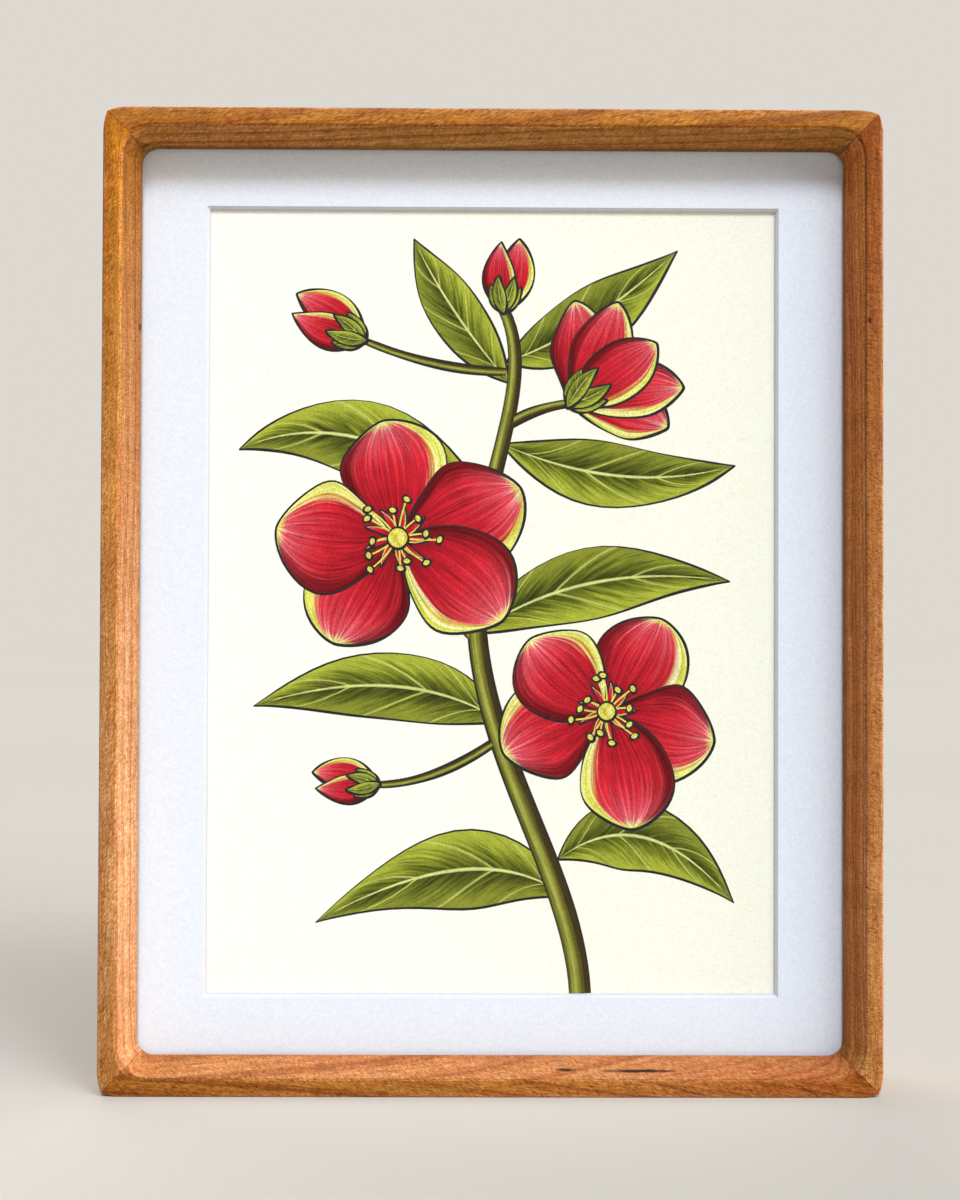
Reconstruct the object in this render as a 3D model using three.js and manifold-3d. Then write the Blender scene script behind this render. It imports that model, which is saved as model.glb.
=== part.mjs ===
// Framed picture: a cherry box frame with a white window mat round a sheet of art paper.
// Millimetres, +Z up. The picture faces -Y and the frame stands on its bottom rail.
// Everything is drawn round the picture's centre with y = 0 at the back rim, and the
// whole group is moved at the end so that the origin is under the middle of the frame.
import * as THREE from 'three';
import { mergeVertices } from 'three/addons/utils/BufferGeometryUtils.js';
import Module from 'manifold-3d';

const wasm = await Module();
wasm.setup();

// Rails: an 11 x 14 inch frame, so the sheets are 279.4 x 355.6 nominal.
const sightWidth = 266.7;
const sightHeight = 342.9;
const railWidth = 12;
const flareRun = 5.4; // how far the inner bevel leans outwards from sight edge to arris
const flareRise = 12; // its height over that run
const sightRadius = 6.35; // left by the router's bearing
const sightLand = 1; // upright edge under the bevel, which rests on the glazing
const frontFall = 0.2; // fall of the front face towards the outside, per mm
const cornerArcRadius = 20; // each outer face curves in towards its mitres
const cornerArcStart = 9.5; // distance from the square corner at which that curve starts
const arrisDepth = 35.4; // back rim to the arris along the straight of a rail
const mitreGap = 0.2;

// Rabbet and what lies in it, from the glazing back.
const rabbetWidth = 281;
const rabbetHeight = 357;
const sheetWidth = 278.6;
const sheetHeight = 354.8;
const glazingThickness = 2;
const matThickness = 1.5;
const paperThickness = 0.5;
const backingThickness = 3;
const windowWidth = 215.9; // where the bevelled window meets the paper
const windowHeight = 298.45;

// Fasteners.
const pointWidth = 9;
const pointReach = 6.5; // clear of the rabbet wall
const pointRoot = 3.6; // driven into the wood
const pointThickness = 0.7;
const pointFit = 0.1;
const sidePointHeights = [-125, -20, 125];
const endPointPlaces = [-75, 75];
const eyeHeight = 62; // above the picture's centre
const eyeRootRadius = 1;
const eyeRootDepth = 4.2;
const eyeNeck = 3;
const eyeRingRadius = 2.55; // to the middle of the wire
const eyeWireRadius = 0.75;
const eyeFit = 0.15;

const outerWidth = sightWidth + 2 * railWidth;
const outerHeight = sightHeight + 2 * railWidth;
const arrisY = -arrisDepth;
const landY = arrisY + flareRise;
const glazingY = landY + sightLand;
const matY = glazingY + glazingThickness;
const paperY = matY + matThickness;
const backingY = paperY + paperThickness;
const pointY = backingY + backingThickness;
const eyeY = (pointY + pointThickness) / 2;
const over = 10; // how far a cutting solid runs past what it cuts

// The front planes rise along the bevel's round corners, to a peak at each mitre.
const cornerReach = (sightRadius + flareRun) * (1 - Math.SQRT1_2);
const peakRise = (frontFall * cornerReach)
  / (1 + (frontFall * flareRun * Math.SQRT1_2) / flareRise);
const frameDepth = arrisDepth + peakRise;

const cherry = () => new THREE.MeshStandardMaterial({ color: '#b9743c', roughness: 0.5 });
const finishes = {
  glazing: () => new THREE.MeshStandardMaterial({
    color: '#f4f8f7', roughness: 0.05, transparent: true, opacity: 0.15,
  }),
  mat: () => new THREE.MeshStandardMaterial({ color: '#f6f8fc', roughness: 0.9 }),
  paper: () => new THREE.MeshStandardMaterial({ color: '#fdfbec', roughness: 0.85 }),
  backing: () => new THREE.MeshStandardMaterial({ color: '#a98a62', roughness: 0.9 }),
  zincSteel: () => new THREE.MeshStandardMaterial({
    color: '#a9abad', roughness: 0.4, metalness: 0.9,
  }),
  brass: () => new THREE.MeshStandardMaterial({
    color: '#b8913f', roughness: 0.35, metalness: 0.9,
  }),
};

const picture = new THREE.Group();
picture.position.set(0, frameDepth / 2, outerHeight / 2);

function addPiece(name, geometry, material) {
  const mesh = new THREE.Mesh(geometry, material);
  mesh.name = name;
  picture.add(mesh);
}

// Solids for booleans.

function toSolid(geometry) {
  const plain = geometry.clone();
  plain.deleteAttribute('normal');
  plain.deleteAttribute('uv');
  const merged = mergeVertices(plain, 1e-4);
  return new wasm.Manifold(new wasm.Mesh({
    numProp: 3,
    vertProperties: new Float32Array(merged.attributes.position.array),
    triVerts: new Uint32Array(merged.index.array),
  }));
}

function toGeometry(solid) {
  const { numProp, vertProperties, triVerts } = solid.getMesh();
  const geometry = new THREE.BufferGeometry();
  geometry.setAttribute('position', new THREE.BufferAttribute(vertProperties, numProp));
  geometry.setIndex(new THREE.BufferAttribute(triVerts, 1));
  return geometry;
}

// Outlines lie in the picture's plane, x to the right and y up.

function rectangle(width, height) {
  return [
    new THREE.Vector2(-width / 2, -height / 2),
    new THREE.Vector2(width / 2, -height / 2),
    new THREE.Vector2(width / 2, height / 2),
    new THREE.Vector2(-width / 2, height / 2),
  ];
}

function roundedRectangle(width, height, radius) {
  const steps = 10;
  const corners = [[1, -1, -90], [1, 1, 0], [-1, 1, 90], [-1, -1, 180]];
  return corners.flatMap(([sideX, sideY, start]) => {
    const centre = new THREE.Vector2(
      sideX * (width / 2 - radius),
      sideY * (height / 2 - radius),
    );
    return Array.from({ length: steps + 1 }, (_, step) => {
      const angle = THREE.MathUtils.degToRad(start + (90 * step) / steps);
      return new THREE.Vector2(radius, 0).rotateAround(new THREE.Vector2(), angle).add(centre);
    });
  });
}

// Each side runs straight, then curves in on an arc until it meets its neighbour at the mitre.
function outerOutline() {
  const steps = 5;
  const sum = cornerArcStart + cornerArcRadius;
  const inset = (sum - Math.sqrt(sum ** 2 - 2 * cornerArcStart ** 2)) / 2;
  const sweep = Math.asin((cornerArcStart - inset) / cornerArcRadius);
  const arc = Array.from({ length: steps + 1 }, (_, step) => {
    const angle = (sweep * step) / steps;
    return new THREE.Vector2(
      cornerArcRadius * Math.sin(angle) - cornerArcStart,
      cornerArcRadius * (Math.cos(angle) - 1),
    );
  });
  // Along the top towards the corner, then down the side by the same arc reflected.
  const corner = [...arc, ...arc.slice(0, -1).reverse().map((p) => new THREE.Vector2(p.y, p.x))];
  const signs = [[1, 1], [1, -1], [-1, -1], [-1, 1]];
  const points = signs.flatMap(([sideX, sideY]) => {
    const placed = corner.map((p) => new THREE.Vector2(
      sideX * (outerWidth / 2 + p.x),
      sideY * (outerHeight / 2 + p.y),
    ));
    return sideX * sideY > 0 ? placed : placed.reverse();
  });
  return points.reverse();
}

// A straight-sided slab of an outline between two depths.
function slab(outline, fromY, toY) {
  const geometry = new THREE.ExtrudeGeometry(new THREE.Shape(outline), {
    depth: toY - fromY,
    bevelEnabled: false,
  });
  return geometry.rotateX(Math.PI / 2).translate(0, toY, 0);
}

// A closed solid through outlines with equal point counts, listed from back to front.
function loft(sections) {
  const count = sections[0].outline.length;
  const positions = sections.flatMap(({ outline, y }) => outline.flatMap((p) => [p.x, y, p.y]));
  const index = [];
  for (let level = 0; level < sections.length - 1; level += 1) {
    for (let i = 0; i < count; i += 1) {
      const a = level * count + i;
      const b = level * count + ((i + 1) % count);
      index.push(a, b, a + count, b, b + count, a + count);
    }
  }
  const last = (sections.length - 1) * count;
  for (const [a, b, c] of THREE.ShapeUtils.triangulateShape(sections[0].outline, [])) {
    index.push(c, b, a);
  }
  for (const [a, b, c] of THREE.ShapeUtils.triangulateShape(sections.at(-1).outline, [])) {
    index.push(last + a, last + b, last + c);
  }
  const geometry = new THREE.BufferGeometry();
  geometry.setAttribute('position', new THREE.Float32BufferAttribute(positions, 3));
  geometry.setIndex(index);
  return geometry;
}

function box(sizeX, sizeY, sizeZ, x, y, z) {
  return new THREE.BoxGeometry(sizeX, sizeY, sizeZ).translate(x, y, z);
}

// Rails.

function frontPlanes() {
  const outside = railWidth + over;
  const ring = (grow, y) => ({
    outline: rectangle(sightWidth + 2 * grow, sightHeight + 2 * grow),
    y,
  });
  return loft([
    ring(outside, over),
    ring(outside, arrisY + (outside - flareRun) * frontFall),
    ring(-over, arrisY - (over + flareRun) * frontFall),
  ]);
}

function sightOpening() {
  const past = (over * flareRun) / flareRise;
  const ring = (grow, y) => ({
    outline: roundedRectangle(
      sightWidth + 2 * grow,
      sightHeight + 2 * grow,
      sightRadius + grow,
    ),
    y,
  });
  return loft([
    ring(0, over),
    ring(0, landY),
    ring(flareRun + past, arrisY - over),
  ]);
}

function frameRing() {
  const body = toSolid(slab(outerOutline(), arrisY - over, 0));
  const rabbet = toSolid(slab(rectangle(rabbetWidth, rabbetHeight), glazingY, over));
  return body
    .intersect(toSolid(frontPlanes()))
    .subtract(toSolid(sightOpening()))
    .subtract(rabbet);
}

// The stretch of the ring between two mitres. turned is for the upright rails.
function mitreWedge(side, turned) {
  const along = (turned ? outerHeight : outerWidth) / 2;
  const across = (turned ? outerWidth : outerHeight) / 2;
  const inner = railWidth * 2;
  const gap = mitreGap * Math.SQRT1_2;
  const points = [
    [-(along - inner - gap), across - inner],
    [along - inner - gap, across - inner],
    [along + over - gap, across + over],
    [-(along + over - gap), across + over],
  ].map(([x, y]) => (turned
    ? new THREE.Vector2(side * y, x)
    : new THREE.Vector2(x, side * y)));
  return slab(points, arrisY - over, over);
}

// Framer's points: flat steel tabs in slots in the rabbet wall, behind the backing.
const points = [
  ...[-1, 1].flatMap((side) => sidePointHeights.map((along, i) => ({
    name: `point_${side < 0 ? 'left' : 'right'}_${i + 1}`, side, along, turned: true,
  }))),
  ...[-1, 1].flatMap((side) => endPointPlaces.map((along, i) => ({
    name: `point_${side < 0 ? 'bottom' : 'top'}_${i + 1}`, side, along, turned: false,
  }))),
];

function pointBlock({ side, along, turned }, fit) {
  const wall = (turned ? rabbetWidth : rabbetHeight) / 2;
  const length = pointReach + pointRoot + fit;
  const middle = side * (wall - pointReach + length / 2);
  const width = pointWidth + 2 * fit;
  const y = pointY + pointThickness / 2;
  const thickness = pointThickness + 2 * fit;
  return turned
    ? box(length, thickness, width, middle, y, along)
    : box(width, thickness, length, along, y, middle);
}

// Screw eyes for the hanging wire, in the side rails' rabbet walls.
function eyeRoot(side, fit) {
  const length = eyeRootDepth + fit + eyeNeck;
  const radius = eyeRootRadius + fit;
  const start = rabbetWidth / 2 - eyeNeck;
  return new THREE.CylinderGeometry(radius, radius, length, 12)
    .rotateZ(Math.PI / 2)
    .translate(side * (start + length / 2), eyeY, eyeHeight);
}

function screwEye(side) {
  const ringX = rabbetWidth / 2 - eyeNeck - eyeRingRadius;
  const ring = new THREE.TorusGeometry(eyeRingRadius, eyeWireRadius, 10, 20)
    .rotateX(Math.PI / 2)
    .translate(side * ringX, eyeY, eyeHeight);
  return toGeometry(toSolid(ring).add(toSolid(eyeRoot(side, 0))));
}

function addRails() {
  const ring = frameRing();
  const rails = [
    { name: 'rail_top', side: 1, turned: false },
    { name: 'rail_bottom', side: -1, turned: false },
    { name: 'rail_left', side: -1, turned: true },
    { name: 'rail_right', side: 1, turned: true },
  ];
  for (const { name, side, turned } of rails) {
    let rail = ring.intersect(toSolid(mitreWedge(side, turned)));
    for (const point of points.filter((p) => p.turned === turned && p.side === side)) {
      rail = rail.subtract(toSolid(pointBlock(point, pointFit)));
    }
    if (turned) rail = rail.subtract(toSolid(eyeRoot(side, eyeFit)));
    addPiece(name, toGeometry(rail), cherry());
  }
}

// Sheets, from the front to the back.

// The window is cut at 45 degrees, so it opens by the board's thickness towards the front.
function matBoard() {
  const sheet = toSolid(slab(rectangle(sheetWidth, sheetHeight), matY, paperY));
  const ring = (rise) => ({
    outline: rectangle(windowWidth + 2 * rise, windowHeight + 2 * rise),
    y: paperY - rise,
  });
  const opening = loft([ring(-over), ring(over)]);
  return toGeometry(sheet.subtract(toSolid(opening)));
}

function addSheets() {
  const full = rectangle(sheetWidth, sheetHeight);
  addPiece('glazing', slab(full, glazingY, matY), finishes.glazing());
  addPiece('mat_board', matBoard(), finishes.mat());
  addPiece('art_sheet', slab(full, paperY, backingY), finishes.paper());
  addPiece('backing_board', slab(full, backingY, pointY), finishes.backing());
}

function addFasteners() {
  for (const point of points) {
    addPiece(point.name, pointBlock(point, 0), finishes.zincSteel());
  }
  addPiece('eye_left', screwEye(-1), finishes.brass());
  addPiece('eye_right', screwEye(1), finishes.brass());
}

addRails();
addSheets();
addFasteners();

export default picture;
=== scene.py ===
import math

import bmesh
import bpy
from mathutils import Matrix, Vector


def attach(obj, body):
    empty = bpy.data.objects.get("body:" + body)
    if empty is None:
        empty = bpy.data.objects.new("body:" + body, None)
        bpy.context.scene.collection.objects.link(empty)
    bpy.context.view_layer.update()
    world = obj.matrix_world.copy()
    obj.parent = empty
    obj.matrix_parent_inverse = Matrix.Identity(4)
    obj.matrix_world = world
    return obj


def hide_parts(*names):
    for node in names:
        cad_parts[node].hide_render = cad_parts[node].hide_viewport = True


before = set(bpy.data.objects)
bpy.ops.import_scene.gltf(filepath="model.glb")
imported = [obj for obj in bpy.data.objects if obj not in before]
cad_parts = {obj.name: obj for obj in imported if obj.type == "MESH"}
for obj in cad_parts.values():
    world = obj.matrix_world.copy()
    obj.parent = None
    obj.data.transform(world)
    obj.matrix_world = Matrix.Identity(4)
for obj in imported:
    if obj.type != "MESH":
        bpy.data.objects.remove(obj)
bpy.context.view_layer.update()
print("frame loaded:", len(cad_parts), "parts")

# Pieces are drawn in millimetres round the middle of the picture, x to the right, z up and y
# towards the wall, then scaled to metres and lifted to stand on the floor.
mm = 0.001
pictureCentre = Vector((0, 0, 183.45))


def srgb(code):
    channels = [int(code[i:i + 2], 16) / 255 for i in (1, 3, 5)]
    linear = [c / 12.92 if c <= 0.04045 else ((c + 0.055) / 1.055) ** 2.4 for c in channels]
    return (*linear, 1)


def wire(tree, node, links):
    # each named socket takes a link from another node or a plain value
    for socket, source in links.items():
        if isinstance(source, bpy.types.NodeSocket):
            tree.links.new(source, node.inputs[socket])
        else:
            node.inputs[socket].default_value = source


def addNode(tree, kind, links=None, stops=(), **settings):
    made = tree.nodes.new("ShaderNode" + kind)
    for name, value in settings.items():
        setattr(made, name, value)
    for i, (place, colour) in enumerate(stops):
        # a new ramp has two stops, which become the first and the last
        ramp = made.color_ramp.elements
        if 0 < i < len(stops) - 1:
            stop = ramp.new(place)
        else:
            stop = ramp[-1 if i else 0]
        stop.position = place
        if isinstance(colour, str):
            stop.color = srgb(colour)
        else:
            stop.color = (*colour, 1) if isinstance(colour, tuple) else (colour, colour, colour, 1)
    wire(tree, made, links or {})
    return made


# how a Mix node lays its second colour on the first: over it, or as a stain that darkens it
cover = {"data_type": "RGBA"}
stain = {"data_type": "RGBA", "blend_type": "MULTIPLY"}


def startMaterial(name):
    material = bpy.data.materials.new(name)
    material.use_nodes = True
    tree = material.node_tree
    return material, tree, tree.nodes["Principled BSDF"]


def mottle(tree, grain, stops, detail=3, roughness=0.5):
    # a pattern in grains of this size, in metres, and the tones that it takes
    place = addNode(tree, "TexCoord").outputs["Object"]
    pattern = addNode(tree, "TexNoise", {
        "Vector": place, "Scale": 1 / grain, "Detail": detail, "Roughness": roughness,
    }).outputs["Fac"]
    return pattern, addNode(tree, "ValToRGB", {"Fac": pattern}, stops=stops).outputs["Color"]


def roundEdges(bm, edges, offset, segments=2):
    # and returns the faces that this makes
    return bmesh.ops.bevel(bm, geom=edges, offset=offset, offset_type="OFFSET", segments=segments,
                           profile=0.5, affect="EDGES", clamp_overlap=True, material=-1)["faces"]


def rotate(bm, verts, degrees, axis):
    matrix = Matrix.Rotation(math.radians(degrees), 3, axis)
    bmesh.ops.rotate(bm, cent=(0, 0, 0), matrix=matrix, verts=verts)


def finishPiece(name, bm, materials, nodes=()):
    bmesh.ops.translate(bm, vec=pictureCentre, verts=bm.verts)
    bmesh.ops.scale(bm, vec=Vector((mm, mm, mm)), verts=bm.verts)
    mesh = bpy.data.meshes.new(name)
    bm.to_mesh(mesh)
    bm.free()
    mesh.shade_smooth()
    mesh.set_sharp_from_angle(angle=math.radians(32))
    for material in materials:
        mesh.materials.append(material)
    piece = bpy.data.objects.new(name, mesh)
    bpy.context.scene.collection.objects.link(piece)
    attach(piece, "root")
    if nodes:
        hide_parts(*nodes)


# Camera, square on to the picture and a little left of its middle.
camera = {
    "place": (-7.1, -520.4, 177.4),
    "turn": (90.71, -0.2, -0.29),  # degrees
    "lens": 40.83,
}
cameraData = bpy.data.cameras.new("camera")
cameraData.lens = camera["lens"]
cameraData.sensor_width = 36
cameraData.clip_start = 0.02
cameraData.clip_end = 50
cameraObject = bpy.data.objects.new("camera", cameraData)
cameraObject.location = Vector(camera["place"]) * mm
cameraObject.rotation_euler = [math.radians(a) for a in camera["turn"]]
bpy.context.scene.collection.objects.link(cameraObject)
bpy.context.scene.camera = cameraObject
bpy.context.scene.view_settings.view_transform = "Standard"

# Studio: cool daylight from above and from the upper right, low warm lights from the right, a soft
# one from behind, and a pale warm floor that runs into a backdrop of its own tone.
studio = {
    "lights": {
        # name: degrees round to the right, degrees up, strength, softness in degrees, colour
        "windowAbove": (0, 51.3, 2.05, 14, "#edf5ff"),
        "windowUpperRight": (30, 55, 0.65, 26, "#eff6ff"),
        "windowRight": (45, 40, 1.18, 30, "#f1f7ff"),
        "lowerRight": (70, 10, 1.27, 30, "#fff4de"),
        "lowRight": (80, 5, 1.11, 20, "#ffeecd"),
        "behind": (205, 42, 1.38, 60, "#fffaf4"),
    },
    "sky": "#eaf1ff",
    "skyStrength": 0.032,
    "backdrop": "#ded9d0",
    "floorTones": ("#cac3b8", "#cdc6bb"),
    "floorClouds": 2 / 3,  # their size in metres
    "floorRadius": 14,  # in metres
}
for name, (round_, up, strength, softness, colour) in studio["lights"].items():
    lightData = bpy.data.lights.new(name, "SUN")
    lightData.energy = strength
    lightData.angle = math.radians(softness)
    lightData.color = srgb(colour)[:3]
    light = bpy.data.objects.new(name, lightData)
    across, above = math.radians(round_), math.radians(up)
    light.location = (math.sin(across) * math.cos(above), -math.cos(across) * math.cos(above),
                      math.sin(above))
    light.rotation_euler = light.location.to_track_quat("Z", "Y").to_euler()
    bpy.context.scene.collection.objects.link(light)

world = bpy.data.worlds.new("sky")
world.use_nodes = True
sky = world.node_tree.nodes["Background"]
sky.inputs["Color"].default_value = srgb(studio["sky"])
sky.inputs["Strength"].default_value = studio["skyStrength"]
backdrop = addNode(world.node_tree, "Background", {"Color": srgb(studio["backdrop"])})
seen = addNode(world.node_tree, "LightPath")
surround = addNode(world.node_tree, "MixShader", {
    0: seen.outputs["Is Camera Ray"], 1: sky.outputs[0], 2: backdrop.outputs[0],
})
world.node_tree.links.new(surround.outputs[0], world.node_tree.nodes["World Output"].inputs["Surface"])
bpy.context.scene.world = world


def addFloor():
    bm = bmesh.new()
    bmesh.ops.create_circle(bm, cap_ends=True, radius=studio["floorRadius"], segments=96)
    mesh = bpy.data.meshes.new("floor")
    bm.to_mesh(mesh)
    bm.free()
    floor = bpy.data.objects.new("floor", mesh)
    bpy.context.scene.collection.objects.link(floor)
    # Seamless studio paper: dead matt, pale, with a barely visible cloudiness.
    material, tree, shader = startMaterial("backdropPaper")
    tone = mottle(tree, studio["floorClouds"], tuple(zip((0.3, 0.7), studio["floorTones"])))[1]
    wire(tree, shader, {"Base Color": tone, "Roughness": 0.9, "Specular IOR Level": 0})
    mesh.materials.append(material)


addFloor()
print("studio built")

# Cherry rails with an oiled satin finish.
rails = {
    "sightHalf": (133.35, 171.45),
    "railWidth": 12,
    "sightRadius": 6.35,
    "flareRun": 5.4,
    "flareRise": 12,
    "frontFall": 0.2,  # the front face falls away to the outside
    "arrisY": -17.376,
    "land": 1,
    "backY": 18.0236,
    "arcStart": 9.5,  # outer faces curve in towards the mitres
    "arcRadius": 20,
    "rabbetHalf": (140.5, 178.5),
    "rabbetRadius": 0.5,
    "steps": 8,  # along each half of a corner
    "hairline": 0.065,  # half the open line at a mitre
    "soften": 0.3,
    "handled": 0.7,  # the outer edges of the front face are rubbed rounder
    "toneTurn": (-15.5, -16.4),  # depths between which the bevel's tones give way to the front's
    "toneReach": 170,  # from the middle of a rail to where its end tones are full
}


def addRing(bm, corner):
    # the top right corner's points, mirrored into the other three
    points = list(corner)
    points += [(-x, y, z) for x, y, z in reversed(corner)]
    points += [(-x, y, -z) for x, y, z in corner]
    points += [(x, y, -z) for x, y, z in reversed(corner)]
    verts = [bm.verts.new(p) for p in points]
    return [bm.edges.new(pair) for pair in zip(verts, verts[1:] + verts[:1])]


def roundCorner(half, radius, depth):
    steps = 2 * rails["steps"]
    turns = [math.radians(90 * i / steps) for i in range(steps + 1)]
    return [
        (half[0] + radius * (math.cos(a) - 1), depth, half[1] + radius * (math.sin(a) - 1))
        for a in turns
    ]


def arrisCorner():
    # the flare's cone meets the front plane of whichever rail it is on
    half, radius, run, rise = (rails[k] for k in ("sightHalf", "sightRadius", "flareRun", "flareRise"))
    fall, steps = rails["frontFall"], 2 * rails["steps"]
    corner = []
    for i in range(steps + 1):
        a = math.radians(90 * i / steps)
        lean = max(math.cos(a), math.sin(a))
        offset = (rise + fall * (run + radius * (1 - lean))) / (rise / run + fall * lean)
        x = half[0] - radius + (radius + offset) * math.cos(a)
        z = half[1] - radius + (radius + offset) * math.sin(a)
        corner.append((x, rails["arrisY"] + rise - offset * rise / run, z))
    return corner


def outerCorner(depth=None):
    half = [side + rails["railWidth"] for side in rails["sightHalf"]]
    start, radius, steps = rails["arcStart"], rails["arcRadius"], rails["steps"]
    sweep = math.acos((radius - start) / radius * math.sqrt(0.5)) - math.radians(45)
    towards = [
        (radius * (1 - math.cos(sweep * i / steps)), start - radius * math.sin(sweep * i / steps))
        for i in range(steps + 1)
    ]
    places = towards + [(b, a) for a, b in reversed(towards[:-1])]
    corner = []
    for inX, inZ in places:
        out = max(rails["railWidth"] - inX, rails["railWidth"] - inZ)
        front = rails["arrisY"] + rails["frontFall"] * (out - rails["flareRun"])
        corner.append((half[0] - inX, front if depth is None else depth, half[1] - inZ))
    return corner


def frameRing():
    bm = bmesh.new()
    lipY = rails["arrisY"] + rails["flareRise"] + rails["land"]
    corners = [
        roundCorner(rails["sightHalf"], rails["sightRadius"], lipY),
        roundCorner(rails["sightHalf"], rails["sightRadius"], lipY - rails["land"]),
        arrisCorner(),
        outerCorner(),
        outerCorner(rails["backY"]),
        roundCorner(rails["rabbetHalf"], rails["rabbetRadius"], rails["backY"]),
        roundCorner(rails["rabbetHalf"], rails["rabbetRadius"], lipY),
    ]
    rings = [addRing(bm, corner) for corner in corners]
    for ring, following in zip(rings, rings[1:] + rings[:1]):
        bmesh.ops.bridge_loops(bm, edges=ring + following)
    bmesh.ops.recalc_face_normals(bm, faces=bm.faces)
    return bm


def cutRail(bm, along, out):
    # keeps the rail that lies out from the middle, between its two mitres
    half = rails["sightHalf"]
    for side in (-1, 1):
        normal = Vector((side * along[0] - out[0], 0, side * along[1] - out[1])).normalized()
        corner = Vector(((side * along[0] + out[0]) * half[0], 0, (side * along[1] + out[1]) * half[1]))
        bmesh.ops.bisect_plane(
            bm, geom=bm.verts[:] + bm.edges[:] + bm.faces[:], dist=1e-4,
            plane_co=corner - normal * rails["hairline"], plane_no=normal, clear_outer=True,
        )
        bmesh.ops.holes_fill(bm, edges=[e for e in bm.edges if e.is_boundary], sides=0)
    # faces that get a painted highlight: the rounded outer edge fully, the arris by half
    paintedHighlight = bm.faces.layers.float.new("paintedHighlight")
    # from the front face to the outer one, but not the mitres, which are the faces with many corners
    handled = [
        e for e in bm.edges
        if min(f.normal.y for f in e.link_faces) < -0.9 and max(f.normal.y for f in e.link_faces) > -0.1
        and not any(len(f.verts) > 5 for f in e.link_faces)
    ]
    for face in roundEdges(bm, handled, rails["handled"], 4):
        face[paintedHighlight] = 1
    # every other sharp edge, but not those in the rabbet behind the lip
    inside = rails["rabbetHalf"]
    crisp = [
        e for e in bm.edges
        if e.calc_face_angle() > math.radians(24)
        and not any(len(f.verts) > 5 for f in e.link_faces)
        and not all(abs(v.co.x) < inside[0] + 0.1 and abs(v.co.z) < inside[1] + 0.1
                    and v.co.y > rails["arrisY"] + rails["flareRise"] + 0.5 for v in e.verts)
    ]
    for face in roundEdges(bm, crisp, rails["soften"]):
        # the arris faces get half the painted highlight
        nearArris = face.calc_center_median().y < rails["arrisY"] + 0.6
        if nearArris and -0.97 < face.normal.y < -0.45:
            face[paintedHighlight] = 0.5  # the arris, between bevel and front
    bmesh.ops.recalc_face_normals(bm, faces=bm.faces)


# How each rail was sawn. heart is where its tree's centre lay, in mm from the middle of the rail:
# towards the wall and outwards. tilt is how the grain runs out, in degrees: across the depth and
# across the face, and bend how fast that changes, in 1/mm. Tones are at the left or bottom end and
# at the other: the wood's own colour with painted light and shade in them, so that rails, faces and
# stretches of rail are lighter or darker where the light falls so. lines is how strong the growth
# lines are on the bevel and on the front, edge how pale the painted highlight on the rounded outer
# edge is and arris that on the inner edge, lip how dark the painted shade on the edge over the mat,
# and ends the painted shade and light at the two ends, towards the corners. Marks are pockets of gum
# and pin knots: place, half lengths, turn, strength.
railWood = {
    "railTop": {
        "node": "rail_top", "along": (1, 0), "out": (0, 1), "seed": 3,
        "bevelTonesWithPaintedLight": ("#cab479", "#bca35f"), "frontTonesWithPaintedLight": ("#c19c45", "#c9a743"),
        "edge": 1.3, "arris": 1, "lip": 0.5, "ends": (0.85, 0.85),
        "heart": (-58, 24), "tilt": (1.6, 3.0), "bend": 0.0001, "waver": 6, "ringWidth": 4.2,
        "lines": (0.7, 0.55), "fleckSize": (2.2, 1.5, 0.45), "fleckTurn": -24,
        "marks": [],
    },
    "railBottom": {
        "node": "rail_bottom", "along": (1, 0), "out": (0, -1), "seed": 11,
        "bevelTonesWithPaintedLight": ("#dfc39a", "#cd9f75"), "frontTonesWithPaintedLight": ("#bda151", "#c8995f"),
        "edge": 1, "arris": 1.15, "lip": 0.95, "ends": (0.78, 0.74),
        "heart": (34, 40), "tilt": (-4.0, -3.2), "bend": 0.0004, "waver": 5, "ringWidth": 4.6,
        "lines": (0.55, 0.7), "fleckSize": (1.8, 1.5, 0.45), "fleckTurn": 24,
        "marks": [
            ((56, -12.6, -174.6), (17, 1.2, 1.4), -1.5, 0.96),
            ((27.5, -12.2, -174.2), (5, 1.2, 1.2), 0, 0.9),
            ((71.3, -16.8, -180.5), (15, 2, 0.8), 14, 0.45),
            ((117.2, -16.8, -180.5), (8.5, 2, 0.7), 28, 0.5),
        ],
    },
    "railLeft": {
        "node": "rail_left", "along": (0, 1), "out": (-1, 0), "seed": 19,
        "bevelTonesWithPaintedLight": ("#fdf2e7", "#ac8f40"), "frontTonesWithPaintedLight": ("#e4d8b9", "#e0bb42"),
        "edge": 1, "arris": 1.12, "lip": 0.8, "ends": (0.64, 1),
        "heart": (-74, 14), "tilt": (0.3, 0.9), "bend": 0, "waver": 13, "ringWidth": 5,
        "lines": (0.6, 0.3), "fleckSize": (1.5, 1.4, 0.42), "fleckTurn": 38,
        "marks": [((-133.5, -5.4, 103), (1, 2, 2), 0, 0.7)],
    },
    "railRight": {
        "node": "rail_right", "along": (0, 1), "out": (1, 0), "seed": 27,
        "bevelTonesWithPaintedLight": ("#cfad78", "#d1a465"), "frontTonesWithPaintedLight": ("#c7af81", "#976513"),
        "edge": 1.3, "arris": 1.05, "lip": 0.7, "ends": (0.86, 1.1),
        "heart": (-66, 28), "tilt": (-0.4, 0.6), "bend": 0, "waver": 7, "ringWidth": 3.6,
        "lines": (0.8, 0.4), "fleckSize": (1.5, 1.4, 0.42), "fleckTurn": -68,
        "marks": [((139.6, -17, 104.6), (1.2, 1.2, 1.7), 0, 0.85)],
    },
}


def grained(*stops):
    # dark grain is richer and pale grain greyer, a painted sheen on the pale fibres and flecks: blue
    # changes most from one to the other, red least
    return tuple((place, (tone ** 0.66, tone, tone ** 2.2)) for place, tone in stops)


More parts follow.
